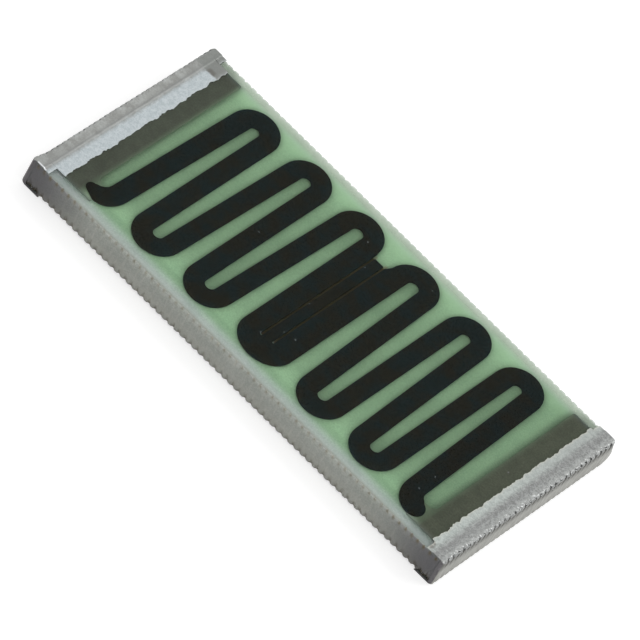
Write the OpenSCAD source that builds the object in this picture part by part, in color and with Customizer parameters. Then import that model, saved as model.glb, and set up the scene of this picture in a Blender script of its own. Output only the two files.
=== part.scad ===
// High voltage thick film chip resistor, seen resting on its solder lands.
// X runs along the chip, Y across it and Z up. The origin is under the middle of all that it covers, in the
// plane of the lands.

/* [Ceramic plate] */
// Length of the ceramic plate between its snapped ends
plate_l = 10.2; // [9.9:0.01:10.4]
// Width of the ceramic plate between its snapped long sides
plate_w = 5.1; // [5.0:0.01:5.2]
// Thickness of the ceramic plate
plate_t = 0.635; // [0.5:0.005:0.8]
// Radius of the plate's four corners, seen from above
corner_r = 0.08; // [0.05:0.01:0.09]
// How far the foot of the +Y side stands out, where the crack ran on past the scribe line
lip_out = 0.25; // [0.15:0.01:0.3]
// Depth of the scribe line's upright wall above the slope that runs out to the foot
lip_drop = 0.02; // [0.01:0.01:0.1]
// Radius round the foot
lip_r = 0.12; // [0.08:0.01:0.15]

/* [Scribed edges] */
// Laser pitches along a long side
side_pitches = 68; // [66:1:70]
// Laser pitches along an end
end_pitches = 34; // [33:1:35]
// Mouth radius of a half hole in the top face
top_pit_r = 0.045; // [0.035:0.005:0.05]
// Depth of a half hole in the top face, on a long side
top_pit_depth = 0.12; // [0.08:0.01:0.18]
// Depth of a half hole in the top face, on an end
end_pit_depth = 0.22; // [0.15:0.01:0.25]
// Mouth radius of a half hole in the underside
bottom_pit_r = 0.045; // [0.04:0.005:0.06]
// Depth of a half hole in the underside
bottom_pit_depth = 0.18; // [0.12:0.01:0.22]

/* [Layer thicknesses] */
// Printed silver electrode, on the top and on the underside
print_t = 0.012; // [0.008:0.001:0.016]
// Printed resistor film
film_t = 0.015; // [0.01:0.001:0.02]
// Glass overcoat, from the ceramic up
glass_t = 0.039; // [0.038:0.001:0.06]
// Rise of the glass over the track
glass_rise = 0.007; // [0.002:0.001:0.012]
// Dipped electrode round each end
dip_t = 0.014; // [0.01:0.001:0.02]
// Nickel barrier
nickel_t = 0.006; // [0.004:0.001:0.01]
// Solder coat
solder_t = 0.016; // [0.012:0.001:0.025]

/* [Resistor track] */
// Distance of the track's own middle line from the plate's
print_shift = 0.002; // [-0.08:0.002:0.08]
// Middle of the first leg beside the block, from the track's middle line
leg_first = 1.059; // [1.04:0.001:1.08]
// Distance from one leg to the next
leg_pitch = 0.652; // [0.64:0.001:0.66]
// Width of a leg
leg_w = 0.385; // [0.36:0.005:0.4]
// Width of the outermost leg
last_leg_w = 0.41; // [0.38:0.005:0.42]
// Lean of every second leg, outwards for each unit towards -Y
leg_lean = 0.028; // [0:0.0005:0.03]
// Half width of the trimming block in the middle
block_half = 0.576; // [0.55:0.002:0.6]
// Where the bends at the +Y side leave the legs
top_bend_y = 1.738; // [1.7:0.002:1.8]
// Where the bends at the -Y side leave the legs
bottom_bend_y = -1.7; // [-1.75:0.01:-1.65]
// Height of a bend's outer curve
bend_h = 0.547; // [0.5:0.001:0.56]
// Half width of the notch over the block, where the two bends beside it begin
notch_half = 0.185; // [0.16:0.005:0.2]
// Half width of the notch at its floor
notch_floor_half = 0.13; // [0.11:0.005:0.15]
// Floor of the notch
notch_y = 1.602; // [1.55:0.002:1.65]

/* [Laser trim] */
// Width of a trim kerf
kerf_w = 0.042; // [0.03:0.002:0.05]
// Place of each kerf along X
kerf_x = [-0.146, 0.104]; // [-0.3:0.002:0.3]
// Where each kerf ends, towards -Y
kerf_end_y = [-1.69, -1.63]; // [-1.72:0.01:-1.4]
// Where both kerfs begin, in the notch
kerf_start_y = 1.73; // [1.7:0.01:1.8]

/* [Terminations] */
// Inner end of the solder on the top, at the left and the right end
solder_edge_x = [4.48, 4.65]; // [4.45:0.01:4.7]
// Inner end of the printed top electrode, at the left and the right end
print_edge_x = [4.14, 4.25]; // [4.12:0.01:4.3]
// Reach of the top electrode towards +Y, beyond the first pitches
print_far_y = 2.35; // [2.3:0.01:2.38]
// Reach of the top electrode towards -Y, beyond the first pitches
print_near_y = -2.32; // [-2.36:0.01:-2.3]
// Inner end of the electrode's foot under the track's end, at the left and the right end
foot_x = [3.89, 3.99]; // [3.85:0.01:4.02]
// Outer radius of the solder along its top edge
solder_top_r = 0.05; // [0.04:0.005:0.06]
// Outer radius of the solder along its bottom edge
solder_bottom_r = 0.075; // [0.05:0.005:0.08]

/* [Glass] */
// Distance of the glass edge from the plate's middle line, along each long side
glass_half_w = 2.385; // [2.37:0.005:2.42]
// Width over which the glass thins out along its edge
glass_fade_w = 0.11; // [0.08:0.01:0.14]

/* [Hidden] */
$fn = 24;
LEFT = 0;
RIGHT = 1;

side_pitch = plate_l / side_pitches;
end_pitch = plate_w / end_pitches;
// Growth of the end face with each wrap: bare plate, dipped electrode, nickel, solder
growth = [0, dip_t, dip_t + nickel_t, dip_t + nickel_t + solder_t];
BARE = 0;
DIPPED = 1;
PLATED = 2;
SOLDERED = 3;
// Reach of the foot on the +Y side, and the way back to the middle of all that the chip covers
far_y = plate_w / 2 + lip_out;
to_middle = [0, -lip_out / 2, 0];
// Plate underside and top, above the lands
plate_z = print_t + growth[SOLDERED];
top_z = plate_z + plate_t;
print_top_z = top_z + print_t;
// The dip and the prints' full width end half way between two half holes, where the side is whole
dip_pits = 1;
shoulder_pits = 2;
dip_edge_x = plate_l / 2 - (dip_pits + 0.5) * side_pitch;
shoulder_x = plate_l / 2 - (shoulder_pits + 0.5) * side_pitch;
// The wraps' solids start well inside their inner edges
core_x = 4.4;
// Cutters run past the faces that they cut
past = 0.03;
// Radius of a half hole's tip, as a share of its mouth's
pit_tip_share = 0.3;
// Outer radius of the dipped electrode along the plate's end, above and below
dip_r = 2.4 * dip_t;
// Round corner of the top electrode, and round end of the gap between electrode and track
print_corner_r = 0.05;
gap_r = 0.15;
gap_y = -1.65;
// Number of the outermost leg, counted outwards from the block
last = 4;
bend_steps = 16;
gap_steps = 10;
corner_steps = 3;
edge_steps = 4;
fade_steps = 6;

ceramic_colour = [0.86, 0.87, 0.85];
glass_colour = [0.45, 0.65, 0.45, 0.45];
film_colour = [0.09, 0.1, 0.11];
silver_colour = [0.42, 0.41, 0.38];
dip_colour = [0.55, 0.55, 0.52];
nickel_colour = [0.68, 0.66, 0.6];
solder_colour = [0.78, 0.8, 0.81];

// Points along part of an ellipse
function arc(cx, cy, a, b, from, to, n) =
    [for (i = [0:n]) let (t = from + (to - from) * i / n) [cx + a * cos(t), cy + b * sin(t)]];
function reversed(v) = [for (i = [len(v) - 1:-1:0]) v[i]];
function mirrored(v) = [for (p = v) [-p[0], p[1]]];
function shifted(v, dx) = [for (p = v) [p[0] + dx, p[1]]];

// The plate's outline, grown at its ends only, with its corners at +Y about fixed centres. It runs on past
// the side between them, and past the foot at -Y.
function half_outline(g) =
    let (r = corner_r + g,
         c = arc(plate_l / 2 - corner_r, plate_w / 2 - corner_r, r, r, 0, asin(corner_r / r), corner_steps),
         right = concat([[plate_l / 2 + g, -plate_w]], c, [c[corner_steps] + [0, past]]))
    concat(right, reversed(mirrored(right)));

// The chip's cross section slopes out at +Y, from the scribe line to a round foot
foot_c = [far_y - lip_r, plate_z + lip_r];
slope_top = [plate_w / 2, top_z - lip_drop];
slope_back = slope_top - foot_c;
foot_turn = atan2(slope_back[1], slope_back[0]) - acos(lip_r / norm(slope_back));
module within_sides() {
    foot = [for (t = [foot_turn, 0, -30, -60, -90]) foot_c + lip_r * [cos(t), sin(t)]];
    intersection() {
        translate([-plate_l, 0, 0]) rotate([90, 0, 90]) linear_extrude(2 * plate_l) polygon(concat(
            [[-plate_w / 2, -past], [-plate_w / 2, 2 * top_z], [plate_w / 2, 2 * top_z], slope_top],
            foot,
            [[foot_c[0], -past]]));
        children();
    }
}

// Everything inside the plate's outline. Its corners stand upright at -Y, and lean out with the slope at +Y,
// so that the outline is narrower square to the slope.
module within_ends(g) {
    leaning = [for (p = half_outline(g)) [p[0], (p[1] - slope_top[0]) * cos(foot_turn)]];
    intersection() {
        mirror([0, 1, 0]) linear_extrude(2 * top_z) polygon(half_outline(g));
        translate([0, slope_top[0], slope_top[1]]) rotate([foot_turn, 0, 0])
            linear_extrude(2 * plate_w, center = true) polygon(leaning);
        children();
    }
}

// One half hole standing on its tip, with its mouth at z = 0
module pit(r, depth) {
    tip = r * pit_tip_share;
    slope = (r - tip) / depth;
    translate([0, 0, -depth])
        cylinder(h = depth + past, r1 = tip, r2 = r + slope * past);
}

// A half hole in each face, one above the other. A wrap that is g thick narrows both and lifts their tips.
module pit_pair(x, y, g, top_depth) {
    translate([x, y, top_z + (g > 0 ? print_t + g : 0)])
        pit(top_pit_r - g / 2, top_depth + (g > 0 ? print_t : 0));
    translate([x, y, plate_z - (g > 0 ? print_t + g : 0)])
        mirror([0, 0, 1]) pit(bottom_pit_r - g / 2, bottom_pit_depth + (g > 0 ? print_t : 0));
}

// Half holes along the end at +X, and along both long sides from one pitch number to another
module end_pits(g) {
    for (k = [1:end_pitches - 1])
        pit_pair(plate_l / 2 + g, k * end_pitch - plate_w / 2, g, end_pit_depth);
}
module side_pits(g, from, to) {
    for (k = [from:to], s = [-1, 1])
        pit_pair(plate_l / 2 - k * side_pitch, s * plate_w / 2, g, top_pit_depth);
}

module at_end(side) {
    mirror([side == LEFT ? 1 : 0, 0, 0]) children();
}

// A layer of thickness t at height z, past all four sides
module slab(z, t) {
    translate([-plate_l, -plate_w, z]) cube([2 * plate_l, 2 * plate_w, t]);
}

module ceramic_substrate() {
    color(ceramic_colour) difference() {
        within_sides() within_ends(0) slab(plate_z, plate_t);
        end_pits(0);
        at_end(LEFT) end_pits(0);
        side_pits(0, 1, side_pitches - 1);
    }
}

module bottom_electrode(side) {
    color(silver_colour) at_end(side) difference() {
        within_sides() within_ends(0) intersection() {
            slab(plate_z - print_t, print_t);
            from_x(shoulder_x);
        }
        end_pits(0);
        side_pits(0, 1, shoulder_pits);
    }
}

// The electrode runs the full width over the first pitches. Its foot reaches in under the track's end,
// and the gap between electrode and track ends in a round.
module top_electrode_plan(side) {
    x = print_edge_x[side];
    r = print_corner_r;
    polygon(concat(
        [[plate_l, -plate_w / 2], [plate_l, plate_w / 2]],
        [[shoulder_x, plate_w / 2], [shoulder_x, print_far_y]],
        arc(x + r, print_far_y - r, r, r, 90, 180, corner_steps),
        arc(x - gap_r, gap_y, gap_r, gap_r, 0, -90, edge_steps),
        [[foot_x[side], gap_y - gap_r], [foot_x[side], print_near_y]],
        [[shoulder_x, print_near_y], [shoulder_x, -plate_w / 2]]
    ));
}
module top_electrode(side) {
    color(silver_colour) at_end(side) difference() {
        within_ends(0) translate([0, 0, top_z]) linear_extrude(print_t) top_electrode_plan(side);
        end_pits(0);
        side_pits(0, 1, shoulder_pits);
    }
}

// Middle and edges of a leg at height y, counted outwards from the block
function leg_c(k, y) = leg_first + k * leg_pitch - (k % 2 == 0 ? leg_lean : 0) * y;
function leg_in(k, y) = leg_c(k, y) - (k == last ? last_leg_w : leg_w) / 2;
function leg_out(k, y) = leg_c(k, y) + (k == last ? last_leg_w : leg_w) / 2;

// The outer curve of a bend between x0 and x1, and the round end of a gap between them
function bend(x0, x1, y, up) = arc((x0 + x1) / 2, y, (x1 - x0) / 2, bend_h, 180, up ? 0 : 360, bend_steps);
function gap_end(x0, x1, y, up) =
    arc((x0 + x1) / 2, y, (x1 - x0) / 2, (x1 - x0) / 2, 180, up ? 0 : 360, gap_steps);

// Right half of the track: from the notch outwards over the +Y bends, and from the block's foot
// outwards over the -Y bends
upper_path = concat(
    [[0, notch_y], [notch_floor_half, notch_y]],
    bend(notch_half, leg_out(0, top_bend_y), top_bend_y, true),
    [for (k = [0:2:last - 2]) each concat(
        gap_end(leg_out(k, bottom_bend_y), leg_in(k + 1, bottom_bend_y), bottom_bend_y, false),
        bend(leg_in(k + 1, top_bend_y), leg_out(k + 2, top_bend_y), top_bend_y, true))]
);
lower_path = concat(
    arc(0, bottom_bend_y, block_half, bend_h, -90, 0, bend_steps / 2),
    gap_end(block_half, leg_in(0, top_bend_y), top_bend_y, true),
    [for (k = [0:2:last - 2]) each concat(
        bend(leg_in(k, bottom_bend_y), leg_out(k + 1, bottom_bend_y), bottom_bend_y, false),
        gap_end(leg_out(k + 1, top_bend_y), leg_in(k + 2, top_bend_y), top_bend_y, true))]
);

// An end of the track. The last leg's outer edge turns out in a hollow about hollow_c, the end is round
// about end_c, and the leg's inner edge comes round to it in a bend.
function tail(hollow_c, hollow_r, hollow_turn, end_c, end_r, end_from, end_to, bend_x, bend_b) = concat(
    arc(hollow_c[0], hollow_c[1], hollow_r, hollow_r, 180, 180 + hollow_turn, edge_steps),
    arc(end_c[0], end_c[1], end_r[0], end_r[1], end_from, end_to, gap_steps),
    arc(bend_x, bottom_bend_y, bend_x - leg_in(last, bottom_bend_y), bend_b, 270, 180, gap_steps));
// The right end is a full round, and the left end a slimmer nub
right_tail = tail([4.078, -1.65], 0.165, 55, [3.998, -2.07], [0.19, 0.215], 75, -80, 3.968, 0.585);
left_tail = tail([4.162, -1.67], 0.255, 75, [4.082, -2.046], [0.12, 0.12], 90, -75, 3.912, bend_h);

module track_plan() {
    difference() {
        polygon(shifted(concat(
            upper_path, right_tail, reversed(lower_path),
            mirrored(lower_path), reversed(mirrored(concat(upper_path, left_tail)))), print_shift));
        kerfs();
    }
}

// Trim cuts, square where the laser started and round where it stopped
module kerfs() {
    for (i = [0, 1]) {
        translate([kerf_x[i] - kerf_w / 2, kerf_end_y[i]]) square([kerf_w, kerf_start_y - kerf_end_y[i]]);
        translate([kerf_x[i], kerf_end_y[i]]) circle(r = kerf_w / 2);
    }
}

// The film lies on the ceramic and climbs over the electrodes' feet
module film_solid() {
    translate([0, 0, top_z]) linear_extrude(film_t) track_plan();
    translate([0, 0, top_z]) linear_extrude(print_t + film_t) intersection() {
        track_plan();
        for (side = [LEFT, RIGHT])
            at_end(side) translate([foot_x[side], -plate_w / 2]) square([plate_w, plate_w]);
    }
}
// Both electrodes without their half holes, for cutting what lies on them
module print_blanks() {
    for (side = [LEFT, RIGHT])
        at_end(side) translate([0, 0, top_z]) linear_extrude(print_t) top_electrode_plan(side);
}
module resistor_track() {
    color(film_colour) difference() {
        film_solid();
        print_blanks();
    }
}

// The glass thins out along both long sides, rises over the track and is cut square where the solder begins
module glass_overcoat() {
    fade = arc(glass_half_w - glass_fade_w, 0, glass_fade_w, glass_t, 0, 90, fade_steps);
    color(glass_colour) difference() {
        union() {
            translate([-solder_edge_x[LEFT], 0, top_z]) rotate([90, 0, 90])
                linear_extrude(solder_edge_x[LEFT] + solder_edge_x[RIGHT])
                    polygon(concat(fade, reversed(mirrored(fade))));
            translate([0, 0, top_z]) linear_extrude(glass_t + glass_rise) track_plan();
        }
        print_blanks();
        film_solid();
        translate([0, 0, top_z - past]) linear_extrude(glass_t + 2 * past) kerfs();
    }
}

// Long section of the plate's end with its wraps up to one level. o is what the plating adds to the dip.
function section_points(side, level) =
    let (o = level < PLATED ? 0 : growth[level] - dip_t,
         d = level == BARE ? 0 : dip_t,
         end_x = plate_l / 2 + growth[level],
         low_z = plate_z - print_t - d - o,
         high_z = print_top_z + d + o,
         low_r = level == SOLDERED ? solder_bottom_r : dip_r + o,
         high_r = level == SOLDERED ? solder_top_r : dip_r + o,
         low = level == BARE ? [[end_x, low_z]]
             : arc(end_x - low_r, low_z + low_r, low_r, low_r, -90, 0, edge_steps),
         high = level == BARE ? [[end_x, high_z]]
             : arc(end_x - high_r, high_z - high_r, high_r, high_r, 0, 90, edge_steps),
         step = level == BARE ? [] : [[dip_edge_x - o, high_z], [dip_edge_x - o, print_top_z + o]])
    concat([[core_x, plate_z], [shoulder_x - o, plate_z], [shoulder_x - o, low_z]],
        low, high, step,
        [[solder_edge_x[side], print_top_z + o], [solder_edge_x[side], top_z], [core_x, top_z]]);

// The plate's end with its wraps up to one level, as one solid that runs on past the long sides
module wrapped(side, level) {
    g = growth[level];
    difference() {
        within_ends(g) translate([0, plate_w, 0]) rotate([90, 0, 0]) linear_extrude(2 * plate_w)
            polygon(section_points(side, level));
        end_pits(g);
        side_pits(g, 1, shoulder_pits);
    }
}

// Space for a wrap: all of it below the plate's middle, and from x on above it
module wrap_space(x) {
    translate([core_x, -plate_w, -past]) cube([plate_w, 2 * plate_w, past + plate_z + plate_t / 2]);
    from_x(x);
}
module from_x(x) {
    translate([x, -plate_w, -past]) cube([plate_w, 2 * plate_w, 2 * top_z]);
}

// The dip leaves the top electrode's inner part open
module end_electrode(side) {
    color(dip_colour) at_end(side) within_sides() difference() {
        intersection() {
            wrapped(side, DIPPED);
            wrap_space(dip_edge_x);
        }
        wrapped(side, BARE);
    }
}

// Plating covers all bare metal: the full width over the first pitches, and the electrode's own beyond
module plating(side, level) {
    at_end(side) within_sides() difference() {
        intersection() {
            wrapped(side, level);
            union() {
                wrap_space(shoulder_x);
                translate([core_x, print_near_y, -past])
                    cube([plate_w, print_far_y - print_near_y, 2 * top_z]);
            }
        }
        wrapped(side, level - 1);
    }
}
module nickel_barrier(side) {
    color(nickel_colour) plating(side, PLATED);
}
module solder_cap(side) {
    color(solder_colour) plating(side, SOLDERED);
}

translate(to_middle) ceramic_substrate();
translate(to_middle) bottom_electrode(LEFT);  // left_bottom_electrode
translate(to_middle) bottom_electrode(RIGHT);  // right_bottom_electrode
translate(to_middle) top_electrode(LEFT);  // left_top_electrode
translate(to_middle) top_electrode(RIGHT);  // right_top_electrode
translate(to_middle) resistor_track();
translate(to_middle) glass_overcoat();
translate(to_middle) end_electrode(LEFT);  // left_end_electrode
translate(to_middle) end_electrode(RIGHT);  // right_end_electrode
translate(to_middle) nickel_barrier(LEFT);  // left_nickel_barrier
translate(to_middle) nickel_barrier(RIGHT);  // right_nickel_barrier
translate(to_middle) solder_cap(LEFT);  // left_solder_cap
translate(to_middle) solder_cap(RIGHT);  // right_solder_cap
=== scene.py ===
import math
import random
from collections import namedtuple

import bpy
import numpy as np
from mathutils import Euler, Matrix, Vector, noise


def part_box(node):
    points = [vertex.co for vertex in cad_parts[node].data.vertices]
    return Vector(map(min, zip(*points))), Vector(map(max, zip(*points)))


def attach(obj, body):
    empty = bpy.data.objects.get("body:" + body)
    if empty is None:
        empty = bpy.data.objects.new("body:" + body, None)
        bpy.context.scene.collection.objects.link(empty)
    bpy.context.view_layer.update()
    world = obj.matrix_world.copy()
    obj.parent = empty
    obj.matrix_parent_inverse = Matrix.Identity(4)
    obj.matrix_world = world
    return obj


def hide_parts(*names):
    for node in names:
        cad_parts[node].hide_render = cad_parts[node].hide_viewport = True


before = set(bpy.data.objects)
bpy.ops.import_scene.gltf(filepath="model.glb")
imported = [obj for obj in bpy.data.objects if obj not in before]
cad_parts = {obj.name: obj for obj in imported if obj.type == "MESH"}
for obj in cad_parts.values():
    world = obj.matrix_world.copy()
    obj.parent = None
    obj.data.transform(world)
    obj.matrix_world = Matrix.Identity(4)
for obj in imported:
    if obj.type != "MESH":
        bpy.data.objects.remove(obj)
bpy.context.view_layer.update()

MM = 0.001
UM = 0.000001
SEED = 7

# The left end is at -X and the right end at +X
LEFT, RIGHT = -1, 1
SIDE_NAME = {LEFT: "left", RIGHT: "right"}

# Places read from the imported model. Across the chip, v is measured from the middle of its top face.
plate_low, plate_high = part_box("ceramic_substrate")
glass_low, glass_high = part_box("glass_overcoat")
_, track_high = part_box("resistor_track")
_, cap_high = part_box("right_solder_cap")
MID_Y = (glass_low.y + glass_high.y) / 2
GLASS_HALF_W = glass_high.y - MID_Y
PLATE_L = plate_high.x - plate_low.x
PLATE_W = 2 * (MID_Y - plate_low.y)
PLATE_Z, TOP_Z = plate_low.z, plate_high.z
LIP_OUT = plate_high.y - MID_Y - PLATE_W / 2
SOLDER_EDGE = {LEFT: -glass_low.x, RIGHT: glass_high.x}
CAP_END, CAP_TOP = cap_high.x, cap_high.z
PRINT_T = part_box("right_top_electrode")[1].z - TOP_Z
DIP_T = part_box("right_end_electrode")[1].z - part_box("right_top_electrode")[1].z

# The slope at the far side: where it starts below the top, and the radius round its foot
LIP_DROP, LIP_R = 0.02 * MM, 0.12 * MM
# Over this width at a long side the ends lean with it
LEAN_W = 0.11 * MM
# The near side's foot lies this far in
FOOT_IN = 0.078 * MM
# The left end stops short by this in its middle, coming on over TUCK_CORNER from the near corner, and its
# last TUCK_W is drawn in
END_SHORT, TUCK_CORNER, TUCK_W = 0.056 * MM, 0.4 * MM, 0.3 * MM

# Scribed edges: laser pitches along a long side and along an end, and the half holes' mouths and depths
SIDE_PITCHES, END_PITCHES = 68, 34
TOP_PIT_R, TOP_PIT_DEPTH, END_PIT_DEPTH = 0.045 * MM, 0.12 * MM, 0.22 * MM
BOTTOM_PIT_R, BOTTOM_PIT_DEPTH = 0.045 * MM, 0.18 * MM
# How far in the lower half holes go, and the mouths of an end's once plated
BOTTOM_CUT, PLATED_PIT_R = 0.036 * MM, 0.036 * MM
# A hole's radius at its tip, as a share of its mouth's
PIT_TIP_SHARE = 0.3
CORNER_R = 0.08 * MM
SIDE_PITCH = PLATE_L / SIDE_PITCHES
END_PITCH = PLATE_W / END_PITCHES

# Laser trim kerfs: place along X, lower and upper end across the chip, and width
KERFS = [(-0.146 * MM, -1.69 * MM, 1.73 * MM), (0.104 * MM, -1.63 * MM, 1.73 * MM)]
KERF_W = 0.042 * MM
# Floor of the notch in the track: the kerfs start a little beyond it
NOTCH = 1.602 * MM

# The glass: its thickness, the width of its thin edge, its swell over the track, its thickness in the kerfs,
# and the width of its colourless edge
GLASS_T, GLASS_FADE, GLASS_SWELL = 0.039 * MM, 0.12 * MM, 0.007 * MM
GROOVE_T, CLEAR_W = 0.02 * MM, 0.17 * MM
# Bright specks in it, bits of debris with their glint painted in: in mm along X and across, and their radius
# in full and faded out
SPECKS = [(-1.717, 0.026), (3.767, -1.218), (3.767, -1.687), (4.452, 0.121),
          (-0.177, -1.688), (0.108, -1.622), (0.064, -1.291), (-0.116, -0.355),
          (-0.098, 1.244), (0.297, -1.23), (0.95, 2.01), (-0.45, 1.75)]
SPECK_R, SPECK_FADED_R = 0.006 * MM, 0.026 * MM

# Terminations: the step at the dipped electrode's edge, the full width's inner end, and where the plating
# stops beside the print
DIP_EDGE = PLATE_L / 2 - 1.5 * SIDE_PITCH
SHOULDER = PLATE_L / 2 - 2.5 * SIDE_PITCH
PLATING_END = SHOULDER - 0.022 * MM
# The top prints: their reach across the chip, their inner edges and the inner ends of their feet
PRINT_NEAR, PRINT_FAR = -2.32 * MM, 2.35 * MM
PRINT_EDGE = {LEFT: 4.14 * MM, RIGHT: 4.25 * MM}
FOOT_X = {LEFT: 3.89 * MM, RIGHT: 3.99 * MM}
# How far every print stays off the plate's ends and sides
PRINT_OFF_END, PRINT_OFF_SIDE = 0.06 * MM, 0.025 * MM
# The solder's thickness, and the radii over an end's upper and lower edge
SOLDER_T, SOLDER_TOP_R, SOLDER_BOTTOM_R = 0.016 * MM, 0.05 * MM, 0.075 * MM
# The solder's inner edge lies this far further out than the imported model's, in waves of this height
EDGE_OUT = {LEFT: 0.034 * MM, RIGHT: 0.006 * MM}
EDGE_WAVE = 0.026 * MM
# How uneven the wraps' ends are
END_WAVE = {LEFT: 5 * UM, RIGHT: 2 * UM}


def smooth_step(low, high, v):
    t = np.clip((v - low) / (high - low), 0, 1)
    return t * t * (3 - 2 * t)


def grain(points, size, seed=0.0):
    """Smooth noise from -1 to 1 at each point, with bumps of about that size."""
    shift = Vector((seed * 17.3, seed * 5.1, seed * 9.7))
    return np.array([noise.noise(Vector(p) / size + shift) for p in points])


def lip(z):
    """How far the far side stands out at height z."""
    h = z - PLATE_Z
    foot_h, foot_v = LIP_R, LIP_OUT - LIP_R
    top_h = TOP_Z - PLATE_Z - LIP_DROP
    back = math.hypot(foot_v, top_h - foot_h)
    turn = math.atan2(top_h - foot_h, -foot_v) - math.acos(LIP_R / back)
    meet_h, meet_v = foot_h + LIP_R * math.sin(turn), foot_v + LIP_R * math.cos(turn)
    if h >= top_h:
        return 0.0
    if h >= meet_h:
        return meet_v * (top_h - h) / (top_h - meet_h)
    return foot_v + math.sqrt(max(0.0, LIP_R ** 2 - (foot_h - max(h, 0.0)) ** 2))


def leaning(v, z):
    """Y of a place at v across the chip: close to a long side it leans with it, both towards +Y."""
    far = min(max((v - PLATE_W / 2 + LEAN_W) / LEAN_W, 0.0), 1.0)
    near = min(max((-v - PLATE_W / 2 + LEAN_W) / LEAN_W, 0.0), 1.0)
    down = min(max((TOP_Z - z) / (TOP_Z - PLATE_Z), 0.0), 1.0)
    return MID_Y + v + far * lip(z) + near * FOOT_IN * down


def tucked(x, v):
    """X of a place along the chip, drawn in where the left end stops short: most at its far corner."""
    share = min(max((-x - PLATE_L / 2 + TUCK_W) / TUCK_W, 0.0), 1.0)
    askew = smooth_step(-PLATE_W / 2, -PLATE_W / 2 + TUCK_CORNER, v) * (1 + 0.5 * v / PLATE_W)
    return x + END_SHORT * share * askew


def add_object(name, data):
    made = bpy.data.objects.new(name, data)
    bpy.context.scene.collection.objects.link(made)
    return made


def make_piece(name, vertices, faces, material, node):
    """A closed mesh that stands for one CAD node and rides with it."""
    mesh = bpy.data.meshes.new(name)
    mesh.from_pydata([tuple(v) for v in vertices], [], faces)
    mesh.validate()
    mesh.update()
    mesh.materials.append(material)
    piece = add_object(name, mesh)
    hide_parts(node)
    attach(piece, "root")
    return piece


def mark_points(piece, label, values):
    """A value at each point of a piece, which its material reads."""
    marks = piece.data.attributes.new(label, "FLOAT", "POINT")
    marks.data.foreach_set("value", np.array(values, np.float32))


def shade_smooth(piece, angle):
    """Smooth shading with edges sharper than the angle, in degrees, kept."""
    mesh = piece.data
    mesh.shade_smooth()
    mesh.set_sharp_from_angle(angle=math.radians(angle))


# Materials

class Nodes:
    """A node tree that is put together a node at a time."""

    def __init__(self, tree):
        self.tree = tree

    def node(self, kind, inputs=None, **settings):
        made = self.tree.nodes.new("ShaderNode" + kind)
        for key, value in settings.items():
            setattr(made, key, value)
        for key, value in (inputs or {}).items():
            self.put(made.inputs[key], value)
        return made

    def put(self, socket, value):
        if isinstance(value, bpy.types.NodeSocket):
            self.tree.links.new(value, socket)
        else:
            socket.default_value = value

    def math(self, how, a, b=0.0):
        return self.node("Math", {0: a, 1: b}, operation=how).outputs[0]

    def times(self, a, b):
        return self.math("MULTIPLY", a, b)

    def ramp(self, value, low, high, out_low=0.0, out_high=1.0):
        """A smooth step from one value to another."""
        ends = {"Value": value, "From Min": low, "From Max": high, "To Min": out_low, "To Max": out_high}
        return self.node("MapRange", ends, interpolation_type="SMOOTHSTEP").outputs["Result"]

    def band(self, value, centre, half, soft):
        """1 within half of the centre, fading to 0 over soft."""
        away = self.math("ABSOLUTE", self.math("SUBTRACT", value, centre))
        return self.ramp(away, half, half + soft, 1.0, 0.0)

    def seen(self):
        """1 for the camera's rays, also mirrored or through glass, and 0 for other light."""
        path = self.node("LightPath")
        direct = self.math("MAXIMUM", path.outputs["Is Camera Ray"], path.outputs["Is Glossy Ray"])
        return self.math("MAXIMUM", direct, path.outputs["Is Transmission Ray"])


class Paint(Nodes):
    """The nodes of one material."""

    def __init__(self, name):
        self.material = bpy.data.materials.new(name)
        self.material.use_nodes = True
        super().__init__(self.material.node_tree)
        self.shader = self.tree.nodes["Principled BSDF"]

    def set(self, **values):
        """Sets the shader's sockets: underscores stand for spaces."""
        for key, value in values.items():
            self.put(self.shader.inputs[key.replace("_", " ")], value)

    def place(self):
        """Where a point is in the row frame, in metres."""
        return self.node("TexCoord").outputs["Object"]

    def axes(self):
        """X, v across the chip and Z."""
        split = self.node("SeparateXYZ", {0: self.place()})
        return split.outputs[0], self.math("SUBTRACT", split.outputs[1], MID_Y), split.outputs[2]

    def noise(self, size, detail=3.0, rough=0.55, stretch=(1, 1, 1), seed=0.0):
        """Noise from 0 to 1 with features of about that size in mm."""
        shift = (seed, seed * 0.7, seed * 0.3)
        at = self.node("Mapping", {"Vector": self.place(), "Scale": stretch, "Location": shift})
        look = {"Vector": at.outputs[0], "Scale": 1 / (size * MM), "Detail": detail, "Roughness": rough}
        return self.node("TexNoise", look).outputs["Fac"]

    def mix(self, share, a, b):
        """Colour a where the share is 0 and b where it is 1."""
        made = self.node("Mix", data_type="RGBA")
        self.put(made.inputs["Factor"], share)
        for socket, value in zip([s for s in made.inputs if s.type == "RGBA"], (a, b)):
            self.put(socket, value if isinstance(value, bpy.types.NodeSocket) else (*value, 1))
        return [s for s in made.outputs if s.type == "RGBA"][0]

    def bump(self, height, depth):
        """A normal from a height from 0 to 1 that stands for that depth in metres."""
        made = self.node("Bump", {"Height": height, "Distance": depth})
        self.put(self.shader.inputs["Normal"], made.outputs[0])

    def attribute(self, name):
        return self.node("Attribute", attribute_name=name).outputs["Fac"]


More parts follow.
